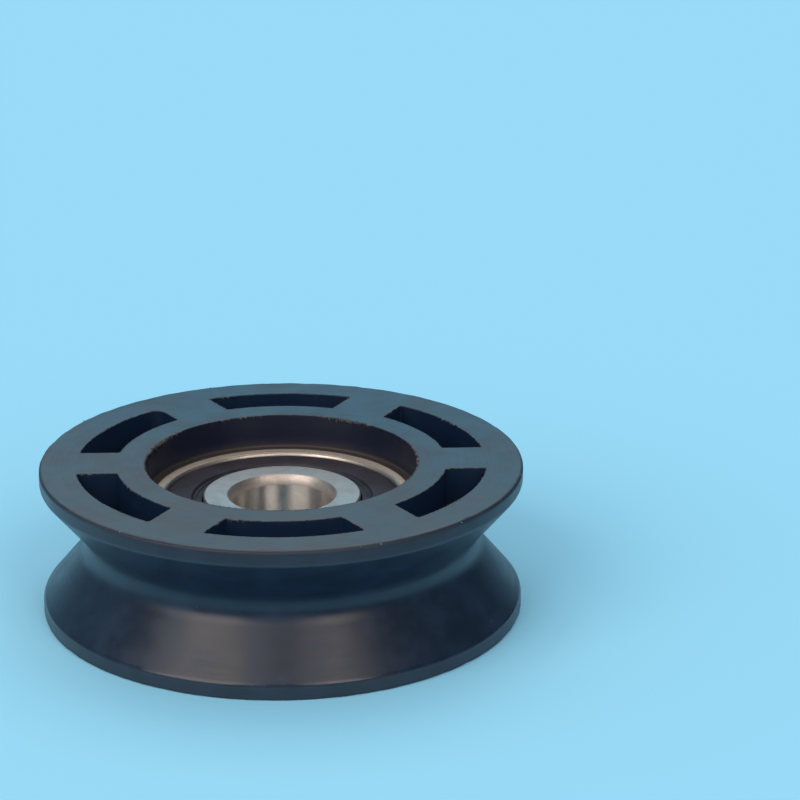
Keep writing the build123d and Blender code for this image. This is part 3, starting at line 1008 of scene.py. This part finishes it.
def seal_rows(bearing):
    """The upper seal's closed section, from its running lip over the top and back along the steel washer."""
    plan = BearingPlan(bearing)
    seat = plan.seat
    step = seat + bearing.seal_web
    top = bearing.half_width - bearing.seal_drop
    rim = plan.wall - bearing.seal_fit
    inner = plan.inner_shoulder + bearing.seal_gap
    ridge = inner + bearing.seal_lip_band
    ridge_top = step + bearing.seal_ridge_height
    width = bearing.seal_ridge
    flat_end = plan.lip - bearing.seal_gutter
    insert_in = inner + bearing.insert_inner_cover
    insert_out = rim - bearing.insert_outer_cover
    insert_top = seat + bearing.insert_thickness
    edge = bearing.seal_edge
    rubber = [
        (inner + width, seat, 0),
        (inner, seat, edge),
        (inner, step, edge),
        (ridge, step, edge),
        (ridge, ridge_top, edge * 0.9),
        (ridge + width, ridge_top, edge * 0.9),
        (ridge + width, step, edge * 0.9),
        (ridge + 2 * width, step, edge * 0.9),
        (ridge + 3 * width, top, edge * 1.5),
        (flat_end, top, edge * 1.5),
        (flat_end, step, edge),
        (plan.lip, step, edge),
        (rim, plan.lip_end - bearing.seal_fit, edge * 0.5),
        (rim, seat, edge),
        (insert_out, seat, 0),
        (insert_out, insert_top, 0),
        (insert_in, insert_top, 0),
        (insert_in, seat, 0),
        (inner + width, seat, 0),
    ]
    washer = [
        (insert_in + width, seat, 0),
        (insert_in, seat, edge * 0.3),
        (insert_in, insert_top, edge * 0.3),
        (insert_out, insert_top, edge * 0.3),
        (insert_out, seat, edge * 0.3),
        (insert_in + width, seat, 0),
    ]
    return rubber, washer


def round_piece(rows, count, steps=5, guard=0.04 * MM):
    """A closed ring from the rows of its section, whose last row meets its first."""
    outline = guarded(rounded_outline(rows, steps), guard)
    return carried_round(outline[:-1], count, closed=True)


BALLS = 7
RING_STEPS = 360
WASHER_STEPS = 240
RIVET_STEPS = 40
CAGE_SHEET = 0.3 * MM
CAGE_CLEARANCE = 0.07 * MM
CAGE_INNER_CLEARANCE = 0.25 * MM
CAGE_OUTER_CLEARANCE = 0.75 * MM
RIVET_RADIUS = 0.35 * MM
RIVET_HEAD_RADIUS = 0.6 * MM
RIVET_HEAD_HEIGHT = 0.25 * MM


def cage_patch(bearing, side):
    """A pressed ribbon: flat between the balls and a dome of a sphere over each.

    Columns go round the axle. Over a ball the turn is the dome's half width times minus the cosine of a half
    turn, and the height is that of the sphere. Rows go across the outer skin and back across the inner skin.
    """
    plan = BearingPlan(bearing)
    inner_edge = plan.inner_shoulder + CAGE_INNER_CLEARANCE
    outer_edge = plan.outer_shoulder - CAGE_OUTER_CLEARANCE
    radius = np.linspace(inner_edge, outer_edge, 13)[:, None, None]
    pitch = FULL_TURN / BALLS
    swing = -np.cos(np.linspace(0, math.pi, 41))
    inner_dome = bearing.ball_radius + CAGE_CLEARANCE
    skins = []
    for dome, level in ((inner_dome + CAGE_SHEET, CAGE_SHEET), (inner_dome, 0.0)):
        squares = radius**2 + plan.circle**2
        half_turn = np.arccos((squares - dome**2 + level**2) / (2 * radius * plan.circle))
        between = half_turn + (pitch - 2 * half_turn) * np.linspace(0, 1, 12)[1:-1]
        turn = np.concatenate([half_turn * swing, between], 2)
        gap = squares - 2 * radius * plan.circle * np.cos(turn)
        height = np.where(turn <= half_turn * 1.000001, np.sqrt(np.maximum(dome**2 - gap, level**2)), level)
        start = (np.arange(BALLS) * pitch)[None, :, None]
        turn = (turn + start).reshape(len(radius), -1)
        height = np.repeat(height, BALLS, 1).reshape(len(radius), -1)
        skins.append(np.stack([radius[:, 0] * np.cos(turn), radius[:, 0] * np.sin(turn), side * height], 2))
    points = np.concatenate([skins[0], skins[1][::-1]])
    rows, columns = points.shape[:2]
    return points.reshape(-1, 3), grid_quads(rows, columns, wrap_rows=True, wrap_columns=True)


def rivet_patch(centre):
    """A rivet: its section of a thin shank between two rounded heads, carried round its own line."""
    top = CAGE_SHEET + RIVET_HEAD_HEIGHT
    head = [
        (0, top, 0),
        (RIVET_HEAD_RADIUS, top, 0.2 * MM),
        (RIVET_HEAD_RADIUS, CAGE_SHEET, 0.01 * MM),
        (RIVET_RADIUS, CAGE_SHEET, 0),
    ]
    points, quads = carried_round(guarded(rounded_outline(mirrored(head), 6), 0.03 * MM), RIVET_STEPS)
    return points + centre, quads


class WHEEL_OT_moulding(bpy.types.Operator):
    """Makes the nylon moulding with its groove, recesses and pockets"""

    bl_idname = "bearing_wheel.moulding"
    bl_label = "Nylon Moulding"

    def execute(self, context):
        wheel, bearing, finish = settings(context)
        nylon = nylon_material(wheel, bearing, finish)
        patches = wheel_patches(wheel, bearing)
        make_piece("nylon_moulding", patches, nylon, "wheel", "black_nylon", "nylon_wheel")
        return {"FINISHED"}


CRUMBS = 30
CRUMB_SEED = 900
CRUMB_INSET = 0.18 * MM
CRUMB_DROP = 0.2 * MM
CRUMB_SIZES = (0.07 * MM, 0.17 * MM)


class WHEEL_OT_burrs(bpy.types.Operator):
    """Makes the torn ridges along the cut edges and the pale crumbs on the rims"""

    bl_idname = "bearing_wheel.burrs"
    bl_label = "Burrs and Crumbs"

    def execute(self, context):
        wheel, bearing, finish = settings(context)
        torn = burr_material(finish)
        for side, half in SIDES:
            recess = [recess_burr_patch(wheel, bearing, side)]
            make_piece(f"recess_burr_{half}", recess, torn, "wheel", "black_nylon")
            pockets = [pocket_burr_patch(wheel, bearing, side, number) for number in range(SECTORS)]
            make_piece(f"pocket_burrs_{half}", pockets, torn, "wheel", "black_nylon")
        chance = np.random.default_rng(7)
        crumbs = []
        for number in range(CRUMBS):
            turn = chance.uniform(0, FULL_TURN)
            side = 1 if number % 3 else -1
            radius = wheel.radius - chance.uniform(0.0, CRUMB_INSET)
            height = side * (wheel.half_width - chance.uniform(0.0, CRUMB_DROP))
            size = chance.uniform(*CRUMB_SIZES)
            middle = (radius * math.cos(turn), radius * math.sin(turn), height)
            crumbs.append(fleck_patch(middle, size, CRUMB_SEED + number))
        make_piece("rim_crumbs", crumbs, fleck_material(finish), "wheel", "black_nylon")
        return {"FINISHED"}


class WHEEL_OT_rings(bpy.types.Operator):
    """Makes the bearing's two steel rings"""

    bl_idname = "bearing_wheel.rings"
    bl_label = "Bearing Rings"

    def execute(self, context):
        bearing, finish = settings(context)[1:]
        lead_end = bearing.bore_radius + bearing.lead_across
        lip_end = BearingPlan(bearing).lip + bearing.lip_round
        # The inner ring's faces, lead-in and bore take darker and lighter copies of one steel, as painted
        # shade and painted highlight.
        face = (finish.ring_steel, finish.ring_roughness)
        lead = (finish.lead_steel, finish.ring_roughness)
        inner_steel = ring_material("ring_steel", face, lead_end, lead)
        # The outer ring's flat faces take a lighter copy of its steel than the lip, as painted highlight.
        face = (finish.face_steel, finish.face_steel_roughness)
        lip = (finish.lip_steel, finish.lip_roughness)
        outer_steel = ring_material("lip_steel", face, lip_end, lip)

        def bore(radius, height):
            wall = radius < bearing.bore_radius + 0.01 * MM
            return wall & (height < bearing.half_width - bearing.lead_along)

        bore_part = {"second": bore_material(finish), "where": bore}
        for which, body, rows, metal, parts in (
            ("inner", "inner_ring", inner_ring_rows(bearing), inner_steel, bore_part),
            ("outer", "wheel", outer_ring_rows(bearing), outer_steel, {}),
        ):
            section = mirrored(rows)
            patches = [round_piece(np.concatenate([section, section[:1]]), RING_STEPS)]
            make_piece(f"{which}_bearing_ring", patches, metal, body, "ring_steel", f"{which}_ring", **parts)
        return {"FINISHED"}


class WHEEL_OT_seals(bpy.types.Operator):
    """Makes the two rubber seals and the steel washers inside them"""

    bl_idname = "bearing_wheel.seals"
    bl_label = "Seals"

    def execute(self, context):
        bearing, finish = settings(context)[1:]
        rubber = rubber_material(finish)
        sheet = sheet_material(finish)
        rubber_rows, washer_rows = seal_rows(bearing)
        for side, half in SIDES:
            flip = np.array([1, side, 1])
            seal = [round_piece(np.array(rubber_rows) * flip, RING_STEPS, 4)]
            make_piece(f"rubber_seal_{half}", seal, rubber, "wheel", "seal_rubber", f"seal_{half}")
            washer = [round_piece(np.array(washer_rows) * flip, WASHER_STEPS, 3, 0.02 * MM)]
            make_piece(f"seal_washer_{half}", washer, sheet, "wheel", "insert_steel", f"seal_insert_{half}")
        return {"FINISHED"}


class WHEEL_OT_running_gear(bpy.types.Operator):
    """Makes the balls and the riveted cage inside the bearing"""

    bl_idname = "bearing_wheel.running_gear"
    bl_label = "Balls and Cage"

    def execute(self, context):
        bearing, finish = settings(context)[1:]
        polished = ball_material(finish)
        sheet = sheet_material(finish)
        circle = BearingPlan(bearing).circle
        for side, half in SIDES:
            ribbon = [cage_patch(bearing, side)]
            make_piece(f"cage_ribbon_{half}", ribbon, sheet, "cage", "cage_steel", f"cage_{half}")
        for number in range(BALLS):
            ball_turn, rivet_turn = (FULL_TURN / BALLS * (number + part) for part in (0, 0.5))
            points, quads = unit_ball(48, 96)
            centre = np.array([circle * math.cos(ball_turn), circle * math.sin(ball_turn), 0])
            ball = [((centre + bearing.ball_radius * points).reshape(-1, 3), quads)]
            node = f"ball_{number + 1}"
            make_piece(f"steel_{node}", ball, polished, node, "ball_steel", node)
            centre = np.array([circle * math.cos(rivet_turn), circle * math.sin(rivet_turn), 0])
            node = f"cage_rivet_{number + 1}"
            make_piece(f"steel_rivet_{number + 1}", [rivet_patch(centre)], sheet, "cage", "cage_steel", node)
        return {"FINISHED"}


LAMP_DISTANCE = 0.9
SENSOR_WIDTH = 36.0
FLOOR_RADIUS = 3.0
FLOOR_GAP = 0.01 * MM
ROOM_TOP = (0.02, 0.03, 0.04, 1.0)
BACKDROP_SIDES = (math.radians(42), math.radians(22))
BACKDROP_TOP = (math.radians(48), math.radians(28))
PAPER_FADE = (32 * MM, 90 * MM)
DIM_FRONT = (0.0, -60 * MM)
DIM_RIGHT = (24 * MM, 60 * MM, 0.0, 0.7)


def stage_material(stage):
    """Pale blue paper, which fades into the even backdrop away from the wheel.

    In reflections it is dimmer in front of the wheel and to its right.
    """
    paper = Shader("pale_paper")
    x, y = paper.axes(paper.place)[:2]
    grain = paper.bump(paper.noise(1500.0, 3.0, 0.6), 0.004 * MM)
    paper.set(base_color=rgba(stage.backdrop), roughness=0.9, normal=grain, specular_ior_level=0.15)
    seen = paper.add("LightPath").outputs
    watched = paper.math("MAXIMUM", seen["Is Camera Ray"], seen["Is Glossy Ray"])
    watched = paper.math("MAXIMUM", watched, seen["Is Transmission Ray"])
    far = paper.ramp(paper.round_axle()[0], *PAPER_FADE)
    front = paper.ramp(y, *DIM_FRONT)
    right = paper.ramp(x, *DIM_RIGHT)
    dim = paper.math("MAXIMUM", front, right) * seen["Is Glossy Ray"]
    glow = paper.add("Emission", {"Color": paper.mix(dim, rgba(stage.backdrop), rgba(stage.room_right))})
    blend = paper.add("MixShader", [watched * far, paper.surface.outputs["BSDF"], glow.outputs["Emission"]])
    paper.put(paper.output.inputs["Surface"], blend.outputs["Shader"])
    return paper.material


def set_world(stage):
    """The even backdrop for the camera, the studio for reflections, and a soft fill for everything else.

    In reflections the backdrop rises behind the wheel to about forty degrees, and the room around it is dim.
    """
    world = bpy.data.worlds.new("studio")
    bpy.context.scene.world = world
    world.use_nodes = True
    nodes = Nodes(world.node_tree)
    seen = nodes.add("LightPath").outputs
    x, y, z = nodes.axes(nodes.add("TexCoord").outputs["Generated"])
    behind = y / nodes.math("SQRT", x * x + y * y)
    wide = nodes.ramp(behind, *(math.cos(side) for side in BACKDROP_SIDES))
    low = nodes.ramp(z, *(math.sin(top) for top in BACKDROP_TOP))
    room = nodes.mix(nodes.ramp(x, -0.6, 0.5), rgba(stage.room_left), rgba(stage.room_right))
    room = nodes.mix(nodes.ramp(z, 0.35, 0.8), room, ROOM_TOP)
    room = nodes.mix(wide * low, room, rgba(stage.backdrop))
    studio, paper, fill = (
        nodes.add("Background", {"Color": shade, "Strength": strength}).outputs[0]
        for shade, strength in ((room, 1.0), (rgba(stage.backdrop), 1.0), (rgba(stage.fill_tint), stage.fill))
    )
    glossy = nodes.math("MAXIMUM", seen["Is Glossy Ray"], seen["Is Transmission Ray"])
    light = nodes.add("MixShader", [glossy, fill, studio]).outputs[0]
    light = nodes.add("MixShader", [seen["Is Camera Ray"], light, paper]).outputs[0]
    nodes.add("OutputWorld", {"Surface": light})


def add_lamp(name, azimuth, elevation, width, height, radiance, tint):
    """A soft box that faces the wheel. The radiance is that of its face.

    Azimuth 0 is the camera's side, and it grows towards the right.
    """
    data = bpy.data.lights.new(name, "AREA")
    data.shape = "RECTANGLE"
    data.size = width
    data.size_y = height
    data.energy = radiance * math.pi * width * height
    data.color = tint
    lamp = bpy.data.objects.new(name, data)
    side, rise = math.radians(azimuth), math.radians(elevation)
    towards = Vector((math.sin(side) * math.cos(rise), -math.cos(side) * math.cos(rise), math.sin(rise)))
    lamp.location = towards * LAMP_DISTANCE
    lamp.rotation_euler = towards.to_track_quat("Z", "Y").to_euler()
    lamp.visible_camera = False
    bpy.context.scene.collection.objects.link(lamp)


def add_camera(stage, height):
    """The camera, placed so that the axle's point at that height falls on the stage's pixel for it."""
    turned = Matrix.Rotation(-stage.wheel_turn, 3, "Z")
    right = turned @ Vector((1, 0, 0))
    forward = turned @ Vector((0, math.cos(stage.elevation), -math.sin(stage.elevation)))
    down = forward.cross(right)
    cosine, sine = math.cos(stage.roll), math.sin(stage.roll)
    right, down = cosine * right - sine * down, sine * right + cosine * down
    offset = [(pixel - stage.picture_width / 2) / stage.focal_pixels for pixel in stage.face_centre]
    place = Vector((0, 0, height)) - stage.distance * (offset[0] * right + offset[1] * down + forward)
    data = bpy.data.cameras.new("camera")
    data.sensor_width = SENSOR_WIDTH
    data.lens = SENSOR_WIDTH * stage.focal_pixels / stage.picture_width
    data.clip_start = 1 * MM
    data.clip_end = 20.0
    camera = bpy.data.objects.new("camera", data)
    camera.matrix_world = Matrix.Translation(place) @ Matrix((right, -down, -forward)).transposed().to_4x4()
    bpy.context.scene.collection.objects.link(camera)
    bpy.context.scene.camera = camera


def add_floor(stage, height):
    """A round sheet of paper at that height, with finer rings near the wheel."""
    rings = FLOOR_RADIUS * np.linspace(0, 1, 60) ** 2.5
    points, quads = carried_round(np.stack([rings, np.full(len(rings), height)], 1), 96)
    mesh = bpy.data.meshes.new("floor")
    mesh.from_pydata(points.tolist(), [], quads[:, ::-1].tolist())
    mesh.materials.append(stage_material(stage))
    floor = bpy.data.objects.new("floor", mesh)
    bpy.context.scene.collection.objects.link(floor)


class WHEEL_OT_stage(bpy.types.Operator):
    """Makes the camera at the photograph's place, the lamps, the backdrop and the floor"""

    bl_idname = "bearing_wheel.stage"
    bl_label = "Stage"

    def execute(self, context):
        stage = context.scene.stage_settings
        half_width = context.scene.wheel_shape.half_width
        add_camera(stage, half_width)
        context.scene.view_settings.view_transform = "Standard"
        add_floor(stage, -half_width - FLOOR_GAP)
        set_world(stage)
        add_lamp("left_soft_box", -45, 38, 0.65, 0.66, stage.left_lamp, stage.lamp_tint)
        add_lamp("right_soft_box", 27, 38, 0.38, 0.66, stage.right_lamp, stage.lamp_tint)
        add_lamp("back_soft_box", 180, 62, 0.70, 0.65, stage.back_lamp, stage.lamp_tint)
        return {"FINISHED"}


def settings(context):
    """The three groups of settings that the pieces read."""
    return context.scene.wheel_shape, context.scene.bearing_shape, context.scene.wheel_finish


class WHEEL_PT_panel(bpy.types.Panel):
    """The steps and settings of the wheel, in the sidebar"""

    bl_label = "Bearing Wheel"
    bl_space_type = "VIEW_3D"
    bl_region_type = "UI"
    bl_category = "Bearing Wheel"

    def draw(self, context):
        layout = self.layout
        for operator in OPERATORS:
            layout.operator(operator.bl_idname)
        for group in GROUPS:
            box = layout.box()
            values = getattr(context.scene, group)
            box.label(text=type(values).__name__)
            for key in values.__annotations__:
                box.prop(values, key)


GROUPS = {
    "wheel_shape": WheelShape,
    "bearing_shape": BearingShape,
    "wheel_finish": WheelFinish,
    "stage_settings": StageSettings,
}
OPERATORS = (
    WHEEL_OT_stage,
    WHEEL_OT_moulding,
    WHEEL_OT_burrs,
    WHEEL_OT_rings,
    WHEEL_OT_seals,
    WHEEL_OT_running_gear,
)


def register():
    for made in (*GROUPS.values(), *OPERATORS, WHEEL_PT_panel):
        bpy.utils.register_class(made)
    for name, group in GROUPS.items():
        setattr(bpy.types.Scene, name, bpy.props.PointerProperty(type=group))


def unregister():
    for name in GROUPS:
        delattr(bpy.types.Scene, name)
    for made in (WHEEL_PT_panel, *OPERATORS[::-1], *list(GROUPS.values())[::-1]):
        bpy.utils.unregister_class(made)


def main():
    register()
    bpy.ops.bearing_wheel.stage()
    bpy.ops.bearing_wheel.moulding()
    bpy.ops.bearing_wheel.burrs()
    bpy.ops.bearing_wheel.rings()
    bpy.ops.bearing_wheel.seals()
    bpy.ops.bearing_wheel.running_gear()


if __name__ == "__main__":
    main()
